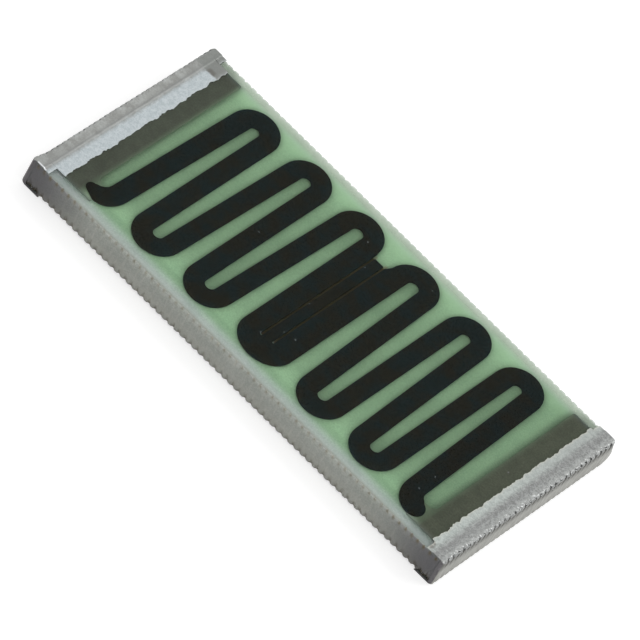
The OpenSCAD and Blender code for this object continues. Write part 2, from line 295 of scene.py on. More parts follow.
def bare_top(paint, x, v, shade):
    """The plate's top face, which is duller where no glass covers it."""
    out = paint.math("ABSOLUTE", x)
    top = paint.mix(shade, (0.50, 0.555, 0.545), (0.62, 0.665, 0.655))
    top = paint.mix(paint.ramp(v, 1.9 * MM, 2.2 * MM, 0.0, 0.6), top, (0.64, 0.69, 0.67))
    shaded = paint.times(paint.band(v, -2.2 * MM, 0.05 * MM, 0.12 * MM), 0.14)
    top = paint.mix(shaded, top, (0, 0, 0))
    # The near margin is bluish, and darker at its rim and towards the ends
    near = paint.mix(shade, (0.395, 0.46, 0.43), (0.49, 0.55, 0.52))
    near = paint.mix(paint.ramp(v, -2.56 * MM, -2.45 * MM, 0.85, 0.0), near, (0.27, 0.28, 0.235))
    near = paint.mix(paint.ramp(out, 3.9 * MM, 4.4 * MM, 0.0, 0.4), near, (0.17, 0.215, 0.215))
    top = paint.mix(paint.ramp(v, -2.42 * MM, -2.25 * MM, 1.0, 0.0), top, near)
    # The far margin is yellowish, and darker towards the ends
    far = paint.mix(shade, (0.42, 0.51, 0.41), (0.51, 0.60, 0.49))
    far = paint.mix(paint.ramp(out, 4.15 * MM, 4.5 * MM, 0.0, 0.6), far, (0.23, 0.27, 0.22))
    return paint.mix(paint.ramp(v, 2.26 * MM, 2.40 * MM), top, far)


def snapped_wall(paint, x, v, z, shade):
    """The plate's snapped sides, a little paler towards the foot, where painted light evens out the shade
    lower on the wall.
    """
    wall = paint.mix(shade, (0.385, 0.405, 0.37), (0.515, 0.535, 0.495))
    # Painted light: the wall is paler towards the foot, evening out the shade that falls lower down
    foot = paint.ramp(z, PLATE_Z + 0.08 * MM, PLATE_Z + 0.4 * MM, 0.5, 0.0)
    wall = paint.mix(foot, wall, (0.56, 0.56, 0.50))
    # A paler stripe runs down the wall from each half hole
    along_pitch = paint.math("FRACT", paint.math("DIVIDE", x, SIDE_PITCH))
    beside = paint.math("ABSOLUTE", paint.math("SUBTRACT", along_pitch, 0.5))
    streak = paint.noise(0.05, 2, 0.5, (1, 1, 0.2), 11)
    stripe = paint.times(paint.ramp(beside, 0.28, 0.48), paint.ramp(streak, 0.4, 0.65, 0.0, 0.3))
    wall = paint.mix(stripe, wall, (0.66, 0.65, 0.60))
    # Beside the wraps the wall is dark and violet: painted shade, where the metal on top keeps light out of
    # the plate. Metal has run into the lower half holes, with painted glints on it
    out = paint.math("ABSOLUTE", x)
    on_side = paint.ramp(paint.math("ABSOLUTE", v), PLATE_W / 2 - 0.2 * MM, PLATE_W / 2 - 0.1 * MM)
    dark = paint.times(on_side, paint.ramp(out, 3.3 * MM, 5.0 * MM, 0.0, 0.85))
    wall = paint.mix(dark, wall, (0.13, 0.125, 0.14))
    low = paint.ramp(z, PLATE_Z + 0.04 * MM, PLATE_Z + 0.13 * MM, 1.0, 0.0)
    run = paint.times(paint.times(low, paint.ramp(out, 4.55 * MM, 4.8 * MM)), on_side)
    patches = paint.ramp(paint.noise(0.09, 2, 0.5, seed=23), 0.4, 0.55)
    glint = paint.ramp(paint.noise(0.03, 2, 0.6, seed=21), 0.58, 0.68)
    spilt = paint.mix(glint, (0.035, 0.033, 0.03), (0.55, 0.56, 0.55))
    return paint.mix(paint.times(run, patches), wall, spilt)


def kerf_marks(paint, x, v):
    """Where the kerfs are burnt, under the track, and only tinged, where the laser started."""
    burnt, tinged = 0.0, 0.0
    for kx, low_end, _ in KERFS:
        across = paint.band(x, kx, KERF_W * 0.6, KERF_W * 0.4)
        under = paint.band(v, (low_end + NOTCH) / 2, (NOTCH - low_end) / 2 - 0.02 * MM, 0.02 * MM)
        start = paint.band(v, NOTCH + 0.03 * MM, 0.02 * MM, 0.06 * MM)
        burnt = paint.math("MAXIMUM", burnt, paint.times(across, under))
        tinged = paint.math("MAXIMUM", tinged, paint.times(across, start))
    return burnt, tinged


def alumina():
    paint = Paint("alumina")
    x, v, z = paint.axes()
    coarse = paint.noise(0.4, 4, 0.6)
    fine = paint.noise(0.03, 3, 0.65, seed=3)
    shade = paint.math("ADD", paint.times(coarse, 0.3), paint.times(fine, 0.7))
    shade = paint.ramp(shade, 0.36, 0.64)
    on_top = paint.ramp(z, TOP_Z - 0.012 * MM, TOP_Z - 0.001 * MM)
    body = paint.mix(on_top, snapped_wall(paint, x, v, z, shade), bare_top(paint, x, v, shade))
    speckle = paint.noise(0.04, 2, 0.5, seed=9)
    brown = paint.times(paint.attribute("scorch"), paint.ramp(speckle, 0.3, 0.55, 0.35, 1.0))
    body = paint.mix(brown, body, (0.17, 0.135, 0.065))
    burnt, tinged = kerf_marks(paint, x, v)
    body = paint.mix(paint.times(paint.times(tinged, on_top), 0.55), body, (0.50, 0.27, 0.27))
    body = paint.mix(paint.times(burnt, on_top), body, (0.19, 0.10, 0.07))
    paint.set(Base_Color=body, Roughness=0.7, IOR=1.5, Specular_IOR_Level=0.2,
              Subsurface_Weight=1.0, Subsurface_Radius=(1.0, 1.0, 1.0), Subsurface_Scale=0.5 * MM)
    paint.bump(paint.noise(0.03, 4, 0.6, seed=5), 3 * UM)
    return paint.material


def green_glass():
    paint = Paint("green_glass")
    x, v, _ = paint.axes()
    away = paint.math("ABSOLUTE", v)
    cover = paint.ramp(away, GLASS_HALF_W - CLEAR_W, GLASS_HALF_W + 0.05 * MM, 1.0, 0.0)
    cloud = paint.noise(0.6, 4, 0.6)
    fine = paint.noise(0.03, 2, 0.6, seed=2)
    green = paint.mix(cloud, (0.56, 0.86, 0.51), (0.60, 0.90, 0.55))
    green = paint.mix(paint.ramp(fine, 0.3, 0.7, 0.0, 0.12), green, (0.44, 0.68, 0.42))
    # It is painted darker where the prints lie thick round it, as shade where the dark track and silver keep
    # light from the plate below; it is also darker along the track's edges and near the right end
    painted_print_shade = paint.ramp(paint.attribute("print_shade"), 0.2, 0.7, 0.0, 0.4)
    edging = paint.ramp(paint.attribute("verge"), 0.05, 0.55, 0.0, 0.15)
    for share in (painted_print_shade, edging, paint.ramp(x, 3.3 * MM, 3.8 * MM, 0.0, 0.18)):
        green = paint.mix(share, green, (0, 0, 0))
    tint = paint.mix(cover, (0.96, 0.98, 0.98), green)
    # The electrodes' inner edges have bled into the glass
    for side in (LEFT, RIGHT):
        out = paint.times(x, side)
        bled = paint.ramp(out, PRINT_EDGE[side] - 0.15 * MM, PRINT_EDGE[side] + 0.03 * MM, 0.0, 0.6)
        tint = paint.mix(paint.times(bled, cover), tint, (0.12, 0.14, 0.10))
    # Bright specks: debris, with its glint painted in as pale colour
    speck = 0.0
    for at_x, at_v in SPECKS:
        gap_x = paint.math("SUBTRACT", x, at_x * MM)
        gap_v = paint.math("SUBTRACT", v, at_v * MM)
        square = paint.math("ADD", paint.times(gap_x, gap_x), paint.times(gap_v, gap_v))
        spot = paint.ramp(paint.math("SQRT", square), SPECK_R, SPECK_FADED_R, 1.0, 0.0)
        speck = paint.math("MAXIMUM", speck, spot)
    tint = paint.mix(speck, tint, (0.8, 0.85, 0.9))
    paint.set(Base_Color=tint, Roughness=0.08, IOR=1.15,
              Transmission_Weight=paint.math("SUBTRACT", 1.0, paint.times(speck, 0.17)))
    return paint.material


def resistor_film():
    paint = Paint("resistor_film")
    cloud = paint.ramp(paint.noise(0.5, 4, 0.6), 0.35, 0.65)
    body = paint.mix(cloud, (0.048, 0.032, 0.034), (0.029, 0.037, 0.060))
    fine = paint.ramp(paint.noise(0.035, 2, 0.6, seed=31), 0.3, 0.7)
    body = paint.mix(paint.times(fine, 0.5), body, (0.007, 0.008, 0.008))
    paint.set(Base_Color=body, Roughness=0.6, Specular_IOR_Level=0.0)
    return paint.material


def printed_silver(side):
    """Fired silver: it looks olive through the green glass, and dark through its colourless edge."""
    paint = Paint(SIDE_NAME[side] + "_printed_silver")
    x, v, _ = paint.axes()
    cloud = paint.ramp(paint.noise(0.25, 4, 0.6), 0.3, 0.7)
    if side == LEFT:
        body = paint.mix(cloud, (0.33, 0.265, 0.32), (0.40, 0.325, 0.385))
    else:
        body = paint.mix(cloud, (0.41, 0.335, 0.375), (0.50, 0.41, 0.45))
    fine = paint.ramp(paint.noise(0.035, 2, 0.6, seed=33), 0.3, 0.7)
    body = paint.mix(paint.times(fine, 0.35), body, (0.17, 0.135, 0.155))
    # It thins out towards its inner edge, so that the ceramic shows through there
    out = paint.times(x, side)
    thin = paint.ramp(out, PRINT_EDGE[side] - 0.01 * MM, PRINT_EDGE[side] + 0.1 * MM, 0.5, 0.0)
    body = paint.mix(thin, body, (0.55, 0.58, 0.57))
    clear = paint.ramp(paint.math("ABSOLUTE", v), GLASS_HALF_W - CLEAR_W, GLASS_HALF_W - 0.03 * MM)
    body = paint.mix(clear, body, (0.125, 0.15, 0.14))
    paint.set(Base_Color=body, Metallic=0.2, Roughness=0.6)
    return paint.material


def metal(name, dark, light, roughness):
    """An inner layer's metal, painted dark as shade where its cut edge shows on the shaded near side, and
    less metallic there.
    """
    paint = Paint(name)
    cloud = paint.noise(0.06, 4, 0.65)
    body = paint.mix(paint.ramp(cloud, 0.3, 0.7), dark, light)
    # Painted shade on the near cut edge
    flank = paint.attribute("flank")
    paint.set(Base_Color=paint.mix(flank, body, (0.13, 0.125, 0.13)), Roughness=roughness,
              Metallic=paint.math("SUBTRACT", 1.0, paint.times(flank, 0.8)))
    return paint.material


def left_cap_top(paint, out, v, wobble, fine, mottle):
    """The left cap from above: a strip over the print, bright with a painted reflection, and even grey over
    the dipped electrode.
    """
    place, place_v = paint.math("ADD", out, wobble), paint.math("ADD", v, wobble)
    soft = paint.math("ADD", paint.times(fine, 0.35),
                      paint.times(paint.noise(0.16, 3, 0.6, seed=10), 0.65))
    grey = paint.mix(paint.ramp(soft, 0.36, 0.64), (0.30, 0.305, 0.29), (0.445, 0.46, 0.445))
    # The grey is darker beside the strip, as painted shade at the step, and darker towards both corners,
    # with painted glints at the end
    for share in (paint.ramp(out, 4.84 * MM, 4.96 * MM, 0.45, 0.0),
                  paint.ramp(paint.math("ABSOLUTE", v), 1.4 * MM, 2.1 * MM, 0.0, 0.35)):
        grey = paint.mix(share, grey, (0.24, 0.245, 0.235))
    # Painted glints at the end
    glint_flecks = paint.ramp(paint.noise(0.03, 1, 0.5, seed=19), 0.66, 0.72, 0.0, 0.8)
    glint_flecks = paint.times(glint_flecks, paint.ramp(out, 4.95 * MM, 5.05 * MM))
    grey = paint.mix(glint_flecks, grey, (0.72, 0.74, 0.73))
    # Painted reflection: the flat strip over the print is bright and bluish
    strip = paint.mix(mottle, (0.45, 0.51, 0.53), (0.60, 0.65, 0.67))
    on_strip = paint.times(paint.ramp(place, 4.73 * MM, 4.85 * MM, 1.0, 0.0),
                           paint.ramp(place_v, 1.98 * MM, 2.04 * MM, 1.0, 0.0))
    body = paint.mix(on_strip, grey, strip)
    # Painted shade along the step between the strip and the grey
    crease_shade = paint.band(out, 4.855 * MM, 0.012 * MM, 0.025 * MM)
    body = paint.mix(paint.times(crease_shade, 0.45), body, (0.25, 0.26, 0.255))
    # The far corner is dark, with a stain beside it, and the near one has a bright line along its edge: a
    # painted highlight
    corner = paint.ramp(place_v, 1.98 * MM, 2.04 * MM)
    body = paint.mix(paint.times(corner, 0.6), body, (0.22, 0.235, 0.22))
    stain = paint.times(paint.band(place, 4.68 * MM, 0.05 * MM, 0.06 * MM),
                        paint.band(v, 2.06 * MM, 0.02 * MM, 0.07 * MM))
    body = paint.mix(paint.times(stain, 0.5), body, (0.10, 0.085, 0.07))
    # Painted highlight along the near edge
    line = paint.times(paint.band(out, 4.905 * MM, 0.09 * MM, 0.03 * MM),
                       paint.band(v, -2.538 * MM, 0.008 * MM, 0.012 * MM))
    return paint.mix(line, body, (0.78, 0.80, 0.82))


def right_cap_top(paint, out, v, wobble, mottle):
    """The right cap from above: its strip has a weaker painted reflection, weakest at the far side, and its
    grey is coarser.
    """
    place = paint.math("ADD", out, wobble)
    grey = paint.mix(mottle, (0.23, 0.235, 0.23), (0.44, 0.455, 0.445))
    # Painted reflection on the strip, dimmer towards the far side
    strip = paint.mix(mottle, (0.40, 0.44, 0.42), (0.565, 0.61, 0.58))
    strip = paint.mix(paint.ramp(v, -1.2 * MM, 2.2 * MM, 0.0, 0.4), strip, (0.335, 0.35, 0.34))
    body = paint.mix(paint.ramp(place, 4.74 * MM, 4.9 * MM, 1.0, 0.0), grey, strip)
    # Painted shade in the groove, and a painted highlight on the ridge at the end
    groove = paint.band(place, 4.92 * MM, 0.015 * MM, 0.05 * MM)
    body = paint.mix(paint.times(groove, 0.4), body, (0.22, 0.225, 0.22))
    ridge = paint.band(out, 5.06 * MM, 0.02 * MM, 0.04 * MM)
    body = paint.mix(paint.times(ridge, 0.2), body, (0.55, 0.57, 0.55))
    # A patchy stain lies at the near inner corner, and painted glints lie along the end
    stain = paint.times(paint.band(place, 4.70 * MM, 0.05 * MM, 0.06 * MM),
                        paint.band(v, -2.43 * MM, 0.06 * MM, 0.06 * MM))
    patches = paint.ramp(paint.noise(0.07, 2, 0.6, seed=27), 0.4, 0.55, 0.25, 0.75)
    body = paint.mix(paint.times(stain, patches), body, (0.12, 0.11, 0.10))
    glint_flecks = paint.ramp(paint.noise(0.04, 1, 0.5, seed=25), 0.6, 0.67, 0.0, 0.8)
    edge = paint.band(out, 5.085 * MM, 0.02 * MM, 0.03 * MM)
    return paint.mix(paint.times(glint_flecks, edge), body, (0.82, 0.84, 0.83))


def solder(side):
    """Plated solder: a cap's top, its end face, its half holes, its inner rim and its cut edge."""
    paint = Paint(SIDE_NAME[side] + "_solder")
    x, v, z = paint.axes()
    out = paint.times(x, side)
    fine = paint.noise(0.028, 3, 0.6, seed=4)
    mid = paint.noise(0.09, 3, 0.6, seed=6)
    mottle = paint.math("ADD", paint.times(fine, 0.55), paint.times(mid, 0.45))
    mottle = paint.ramp(mottle, 0.37, 0.63)
    wobble = paint.math("SUBTRACT", paint.noise(0.1, 3, 0.6, seed=8), 0.5)
    wobble = paint.times(wobble, 0.09 * MM)
    if side == LEFT:
        body, rim = left_cap_top(paint, out, v, wobble, fine, mottle), (0.66, 0.70, 0.71)
    else:
        body, rim = right_cap_top(paint, out, v, wobble, mottle), (0.74, 0.73, 0.64)
    # The end face is ribbed, and darker just below its top edge
    rib = paint.noise(0.035, 2, 0.5, (1, 1, 0.12), 13)
    face = paint.mix(paint.ramp(rib, 0.35, 0.65), (0.27, 0.27, 0.245), (0.41, 0.41, 0.375))
    upper = paint.ramp(z, CAP_TOP - 0.36 * MM, CAP_TOP - 0.1 * MM, 0.0, 0.9)
    face = paint.mix(upper, face, (0.12, 0.12, 0.105))
    body = paint.mix(paint.ramp(z, CAP_TOP - 0.09 * MM, CAP_TOP - 0.03 * MM, 1.0, 0.0), body, face)
    # In and round the half holes at the end's top edge the solder is painted dark as shade, with painted
    # glints
    glint = paint.ramp(paint.noise(0.035, 1, 0.5, seed=17), 0.55, 0.62)
    pit = paint.mix(glint, (0.05, 0.052, 0.05), (0.75, 0.77, 0.76))
    body = paint.mix(paint.attribute("pit"), body, pit)
    body = paint.mix(paint.times(paint.attribute("rim"), 0.6), body, rim)
    # Its cut edge on the near side is painted as dark as the wall beside it: painted shade on the shaded
    # near side
    below = paint.ramp(z, CAP_TOP - 0.05 * MM, CAP_TOP - 0.02 * MM, 1.0, 0.0)
    shaded_cut_edge = paint.mix(mottle, (0.10, 0.095, 0.10), (0.19, 0.18, 0.19))
    body = paint.mix(paint.times(paint.attribute("flank"), below), body, shaded_cut_edge)
    paint.set(Base_Color=body, Metallic=0.45, Roughness=0.42, Specular_IOR_Level=0.3)
    paint.bump(paint.noise(0.025, 3, 0.6, seed=15), 3 * UM)
    return paint.material


ALUMINA = alumina()
GREEN_GLASS = green_glass()
RESISTOR_FILM = resistor_film()
PRINTED_SILVER = {side: printed_silver(side) for side in (LEFT, RIGHT)}
DIPPED_SILVER = metal("dipped_silver", (0.35, 0.35, 0.34), (0.5, 0.5, 0.48), 0.5)
NICKEL = metal("nickel", (0.42, 0.40, 0.37), (0.55, 0.53, 0.49), 0.35)
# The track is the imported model's own, and takes only a material
track_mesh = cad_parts["resistor_track"].data
track_mesh.materials.clear()
track_mesh.materials.append(RESISTOR_FILM)


# Ceramic plate

# Columns across one pitch, as shares of the half hole's mouth from its middle, and round a corner
PIT_COLUMNS = [0.0, 0.35, 0.65, 0.88, 1.02, 1.2]
CORNER_COLUMNS = 5
# Rows down the wall, in mm: below the top and above the underside, and the number between them
TOP_ROWS = [0, 0.006, 0.015, 0.03, 0.045, 0.06, 0.08, 0.1, 0.12]
LOW_ROWS = [0, 0.008, 0.02, 0.04, 0.06, 0.08, 0.1, 0.12, 0.14, 0.16, 0.18]
MIDDLE_ROWS = 10
# Rows across the whole holes in the underside beside the foot, in mm from their middle line
HOLE_ROWS = [0.06, 0.045, 0.035, 0.022, 0.008, -0.008, -0.022, -0.035, -0.045, -0.06]
# A ring this far inside each rim keeps the marks off both faces
RING_IN = 0.012 * MM
# The way in from the far side
FROM_FAR = (0, -1)

# One column of the wall: its side, the place s along it, the turn round a corner, and the side's half holes
Column = namedtuple("Column", "middle way inward s turn top_marks low_marks top_depth")


def pit_marks(length, pitches, rng):
    """Middle, size and depth of each half hole along a side: they are nearly alike."""
    pitch = length / pitches
    return [(k * pitch - length / 2 + rng.uniform(-0.004, 0.004) * MM,
             rng.uniform(0.86, 1.0), rng.uniform(0.8, 1.0)) for k in range(1, pitches)]


def columns_along(length, pitches):
    """Places along a side: close together in the half holes, and one between them."""
    pitch = length / pitches
    steps = sorted({-c for c in PIT_COLUMNS} | set(PIT_COLUMNS))
    places = []
    for k in range(1, pitches):
        middle = k * pitch - length / 2
        places += [middle + c * BOTTOM_PIT_R for c in steps] + [middle + pitch / 2]
    return [-length / 2 + pitch / 2] + places


def nearest(s, marks):
    return min(marks, key=lambda mark: abs(mark[0] - s))


def top_cut(s, depth, marks, full_depth):
    """How far a half hole in the top has taken the wall in, at s along it and depth below the top."""
    middle, size, reach = nearest(s, marks)
    share = depth / (full_depth * reach)
    if share >= 1:
        return 0.0
    r = TOP_PIT_R * size * (1 - (1 - PIT_TIP_SHARE) * share)
    away = abs(s - middle)
    return math.sqrt(r * r - away * away) if away < r else 0.0


def low_cut(s, height, marks):
    """The same for the underside, where the teeth between the half holes broke off."""
    middle, size, reach = nearest(s, marks)
    share = min(height / (BOTTOM_PIT_DEPTH * reach), 1.0)
    wide = BOTTOM_PIT_R * 1.25 * (1 - 0.4 * share)
    away = min(abs(s - middle) / wide, 1.0)
    return BOTTOM_CUT * size * (1 - share) ** 0.6 * (0.5 + 0.5 * math.cos(math.pi * away))


def whole_hole(s, off, marks):
    """Depth of a whole hole in the underside, at s along the side and off across it."""
    middle, size, reach = nearest(s, marks)
    r = BOTTOM_PIT_R * size
    share = (r - math.hypot(s - middle, off)) / (r * (1 - PIT_TIP_SHARE))
    return BOTTOM_PIT_DEPTH * reach * min(max(share, 0.0), 1.0)


def wall_depths():
    """Depths of the wall's rows below the top."""
    height = TOP_Z - PLATE_Z
    depths = [d * MM for d in TOP_ROWS]
    depths += list(np.linspace(depths[-1], height - LOW_ROWS[-1] * MM, MIDDLE_ROWS + 2)[1:-1])
    return depths + [height - d * MM for d in reversed(LOW_ROWS)]


def plate_columns(rng):
    """The wall's columns in order, round all four sides and corners."""
    half_l, half_w = PLATE_L / 2, PLATE_W / 2
    # Each side: its middle, its direction, the way in, its length, pitches, and the depth of its top half
    # holes with the share of their mouth that the crack left in this plate
    sides = [
        ((0, -half_w), (1, 0), (0, 1), PLATE_L, SIDE_PITCHES, TOP_PIT_DEPTH, 0.4),
        ((half_l, 0), (0, 1), (-1, 0), PLATE_W, END_PITCHES, END_PIT_DEPTH, 1.0),
        ((0, half_w), (-1, 0), FROM_FAR, PLATE_L, SIDE_PITCHES, TOP_PIT_DEPTH, 0.6),
        ((-half_l, 0), (0, -1), (1, 0), PLATE_W, END_PITCHES, END_PIT_DEPTH, 1.0),
    ]
    columns = []
    for middle, way, inward, length, pitches, top_depth, open_share in sides:
        top_marks, low_marks = pit_marks(length, pitches, rng), pit_marks(length, pitches, rng)
        top_marks = [(at, size * open_share, reach) for at, size, reach in top_marks]
        limit = length / 2 - CORNER_R
        along = [(s, 0.0) for s in columns_along(length, pitches) if abs(s) < limit]
        along += [(limit, math.pi / 2 * i / CORNER_COLUMNS) for i in range(CORNER_COLUMNS + 1)]
        columns += [Column(middle, way, inward, s, turn, top_marks, low_marks, top_depth)
                    for s, turn in along]
    return columns


def column_place(column):
    """Where a column stands on the plate's outline, and the way in from there."""
    (mx, my), (wx, wy), inward = column.middle, column.way, Vector(column.inward)
    n = inward * math.cos(column.turn) - Vector(column.way) * math.sin(column.turn)
    return Vector((mx + wx * column.s, my + wy * column.s)) + (inward - n) * CORNER_R, n


def column_points(column, p, n, depths, far):
    """Points down the wall at one column, and how scorched each is."""
    s, height = column.s, TOP_Z - PLATE_Z
    # Marks are strong near the ends and faint between
    strong = 0.62 + 0.38 * smooth_step(3.3 * MM, 4.6 * MM, abs(p.x))
    near_top = 1 - smooth_step(0.2, 1.1, abs(s - nearest(s, column.top_marks)[0]) / TOP_PIT_R)
    near_low = 1 - smooth_step(0.5, 1.5, abs(s - nearest(s, column.low_marks)[0]) / BOTTOM_PIT_R)
    points, burns = [], []
    for d in depths:
        cut_top = 0.0 if column.turn else top_cut(s, d, column.top_marks, column.top_depth)
        cut_low = 0.0 if column.turn or far else low_cut(s, height - d, column.low_marks)
        cut = max(cut_top, cut_low)
        burn = 0.75 * near_top * strong * math.exp(-((d - 0.045 * MM) / (0.055 * MM)) ** 2)
        burn += (0.25 + 0.6 * near_low) * math.exp(-(height - d) / (0.06 * MM))
        burns.append(min(1.0, burn))
        at_z = TOP_Z - d
        points.append((tucked(p.x, p.y) + n.x * cut, leaning(p.y, at_z) + n.y * cut, at_z))
    return points, burns


def underside_faces(first_low, first_hole, hole_columns, count):
    """The whole holes' faces in the underside, and the one large face round them."""
    across = len(HOLE_ROWS)
    faces = []
    for k, c in enumerate(hole_columns[:-1]):
        here, there = first_hole + k * across, first_hole + (k + 1) * across
        faces.append((first_low + c, here, there, first_low + c + 1))
        faces += [(here + r, here + r + 1, there + r + 1, there + r) for r in range(across - 1)]
    last = first_hole + (len(hole_columns) - 1) * across
    rim = [*range(first_low, first_low + hole_columns[0] + 1), *range(first_hole, first_hole + across)]
    rim += range(first_hole + 2 * across - 1, last, across)
    rim += reversed(range(last, last + across))
    rim += range(first_low + hole_columns[-1], first_low + count)
    return faces + [rim[::-1]]


def plate_piece():
    depths, columns = wall_depths(), plate_columns(random.Random(SEED))
    rows, count = len(depths), len(columns)
    places, ways_in, scorch, top_ring, low_ring = [], [], [], [], []
    holes, hole_scorch, hole_columns = [], [], []
    for c, column in enumerate(columns):
        p, n = column_place(column)
        far = column.inward == FROM_FAR and not column.turn
        points, burns = column_points(column, p, n, depths, far)
        places += points
        scorch += burns
        ways_in += [(n.x, n.y)] * rows
        for ring, rim in ((top_ring, points[0]), (low_ring, points[-1])):
            ring.append((rim[0] + n.x * RING_IN, rim[1] + n.y * RING_IN, rim[2]))
        if far:
            hole_columns.append(c)
            for off in HOLE_ROWS:
                up = whole_hole(column.s, off * MM, column.low_marks)
                holes.append((tucked(p.x, p.y), MID_Y + PLATE_W / 2 + off * MM, PLATE_Z + up))
                hole_scorch.append(min(1.0, up / (0.02 * MM)))
    places, ways_in = np.array(places), np.array(ways_in)
    # The snapped wall is rough, and only ever further in
    rough = (grain(places, 0.045 * MM, 1) + 0.6 * grain(places, 0.02 * MM, 2) + 1.2) * 3.2 * UM
    places[:, :2] += ways_in * rough[:, None]
    faces = []
    first_top, first_low = count * rows, count * rows + count
    for c in range(count):
        e = (c + 1) % count
        for r in range(rows - 1):
            faces.append((c * rows + r, c * rows + r + 1, e * rows + r + 1, e * rows + r))
        faces.append((first_top + c, c * rows, e * rows, first_top + e))
        faces.append((c * rows + rows - 1, first_low + c, first_low + e, e * rows + rows - 1))
    faces.append(range(first_top, first_low))
    faces += underside_faces(first_low, first_low + count, hole_columns, count)
    vertices = np.concatenate([places, np.array(top_ring), np.array(low_ring), np.array(holes)])
    piece = make_piece("snapped_ceramic_plate", vertices, faces, ALUMINA, "ceramic_substrate")
    mark_points(piece, "scorch", scorch + [0.0] * (2 * count) + hole_scorch)
    shade_smooth(piece, 50)


# Glass and solder

def rim_of(nx, ny):
    """The grid's outer points in order, where point j of row i is number i * ny + j."""
    rim = [i * ny for i in range(nx)] + [(nx - 1) * ny + j for j in range(1, ny)]
    return rim + [i * ny + ny - 1 for i in range(nx - 2, -1, -1)] + list(range(ny - 2, 0, -1))


def grid_faces(nx, ny):
    return [(i * ny + j, (i + 1) * ny + j, (i + 1) * ny + j + 1, i * ny + j + 1)
            for i in range(nx - 1) for j in range(ny - 1)]


def ripple(v, size, row, shift):
    """Noise from -1 to 1 along an edge at v, with waves of about that size."""
    return noise.noise(Vector((v / size, row, shift)))


def edge_wave(side, v):
    """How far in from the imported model's place the solder's inner edge runs at v."""
    waves = ripple(v, 0.12 * MM, side * 3.7, 0.5) + ripple(v, 0.05 * MM, side * 8.1, 4.5)
    return min(max(EDGE_WAVE * waves - EDGE_OUT[side], -0.1 * MM), 0.045 * MM)


def inner_edge(side, v):
    """Where the solder begins on the top: over the print it runs further in than beside it."""
    if PRINT_NEAR < v < PRINT_FAR:
        return SOLDER_EDGE[side] - edge_wave(side, v)
    return PLATING_END - edge_wave(side, v) * 0.5


def inside_track(xs, vs):
    """1 where the track lies under a point of the grid and 0 elsewhere."""
    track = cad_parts["resistor_track"]
    start, down = track_high.z + 0.1 * MM, Vector((0, 0, -1))
    found = [[track.ray_cast(Vector((x, MID_Y + v, start)), down)[0] for v in vs] for x in xs]
    return np.array(found, float)


def blurred(field, steps):
    """The field averaged over a few steps each way, three times over."""
    kernel = np.ones(2 * steps + 1) / (2 * steps + 1)

    def averaged(line):
        return np.convolve(np.pad(line, steps, "edge"), kernel, "valid")

    for _ in range(3):
        for axis in (0, 1):
            field = np.apply_along_axis(averaged, axis, field)
    return field


def glass_grid():
    """Places along and across the glass, closer at the kerfs' lips and at its thin edges."""
    xs = list(np.linspace(-SOLDER_EDGE[LEFT], SOLDER_EDGE[RIGHT], 254))
    half = KERF_W / 2
    for kx, _, _ in KERFS:
        lips = [kx - half, kx - half + 3 * UM, kx + half - 3 * UM, kx + half]
        xs = [x for x in xs if abs(x - kx) > half + 4 * UM] + lips
    step, flat_half = 0.036 * MM, GLASS_HALF_W - GLASS_FADE
    edge = GLASS_HALF_W - GLASS_FADE * (1 - np.cos(np.linspace(0, math.pi / 2, 7)[1:-1]))
    inner = np.linspace(-flat_half, flat_half, int(2 * flat_half / step))
    return np.array(sorted(xs)), np.concatenate([-edge, inner, edge[::-1]])


def glass_heights(xs, vs, swell):
    """The glass's height above the plate, with its thin edges, its swell and the kerfs."""
    gone = np.clip((np.abs(vs) - (GLASS_HALF_W - GLASS_FADE)) / GLASS_FADE, 0, 1)
    full = np.sqrt(np.clip(1 - gone ** 2, 0, 1))
    heights = (GLASS_T + GLASS_SWELL * swell) * full[None, :]
    for kx, low_end, high_end in KERFS:
        across = np.abs(xs - kx) < KERF_W / 2 - 2 * UM
        along = (vs > low_end) & (vs < high_end)
        heights[across[:, None] & along[None, :]] = GROOVE_T
    return heights


def glass_piece():
    xs, vs = glass_grid()
    track = inside_track(xs, vs)
    printed = [[abs(x) > PRINT_EDGE[LEFT if x < 0 else RIGHT] and PRINT_NEAR < v < PRINT_FAR for v in vs]
               for x in xs]
    # The glass swells over the track, and its painted shade follows how thickly track and print lie round
    # each place
    swell, print_shade = blurred(track, 1), blurred(np.maximum(track, printed), 5)
    heights = glass_heights(xs, vs, swell)
    waves = {side: np.array([edge_wave(side, v) for v in vs]) for side in (LEFT, RIGHT)}
    vertices = []
    for i, x in enumerate(xs):
        side = LEFT if x < 0 else RIGHT
        # Near its ends the glass follows the solder's uneven edge
        near_end = max(0.0, 1 - (SOLDER_EDGE[side] - abs(x)) / (0.45 * MM))
        vertices += [(x - side * near_end * waves[side][j], MID_Y + v, TOP_Z + heights[i, j])
                     for j, v in enumerate(vs)]
    faces = grid_faces(len(xs), len(vs))
    rim = rim_of(len(xs), len(vs))
    # A skirt and a bottom close it, just below the plate's top
    under = len(vertices)
    vertices += [(vertices[a][0], vertices[a][1], TOP_Z - 2 * UM) for a in rim]
    for k, a in enumerate(rim):
        m = (k + 1) % len(rim)
        faces.append((rim[m], a, under + k, under + m))
    faces.append(range(under, under + len(rim))[::-1])
    piece = make_piece("glass_coat", vertices, faces, GREEN_GLASS, "glass_overcoat")
    for label, field in (("verge", swell), ("print_shade", print_shade)):
        mark_points(piece, label, np.append(field, field.ravel()[rim]))
    shade_smooth(piece, 40)


# A cap's outline over the end: steps on its top, in its two rounds, down its end face and along its land
TOP_SHARES = np.linspace(0, 1, 30)
TURNS = np.radians([22.5, 45, 67.5, 90])
FACE_ROWS = 18
LAND_SHARES = np.linspace(0, 1, 5)[1:]
